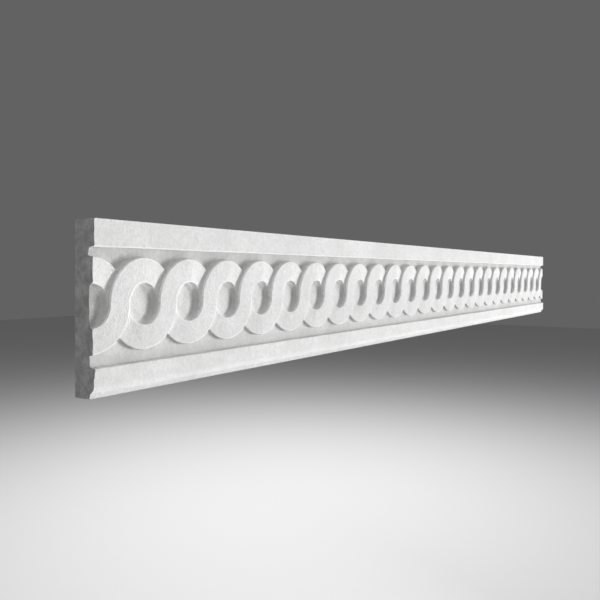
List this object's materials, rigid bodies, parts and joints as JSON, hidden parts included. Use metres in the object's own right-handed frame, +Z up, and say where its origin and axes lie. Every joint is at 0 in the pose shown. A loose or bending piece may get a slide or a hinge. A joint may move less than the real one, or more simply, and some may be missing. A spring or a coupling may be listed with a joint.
{
  "type": "plaster frieze",
  "caption": "Straight length of cast plaster frieze, a running guilloche in a sunk channel between two plain fillets, for fixing flat to a wall.",
  "frame": {"origin": "centre of the flat back face that is fixed to the wall", "axes": "+X along the frieze towards its right end as seen from the front, +Y into the wall, +Z up; the carved face looks along -Y"},
  "size_m": [1, 0.015, 0.097],
  "materials": {
    "plaster": "matte"
  },
  "bodies": {
    "root": {"frieze": "plaster"}
  },
  "joints": []
}
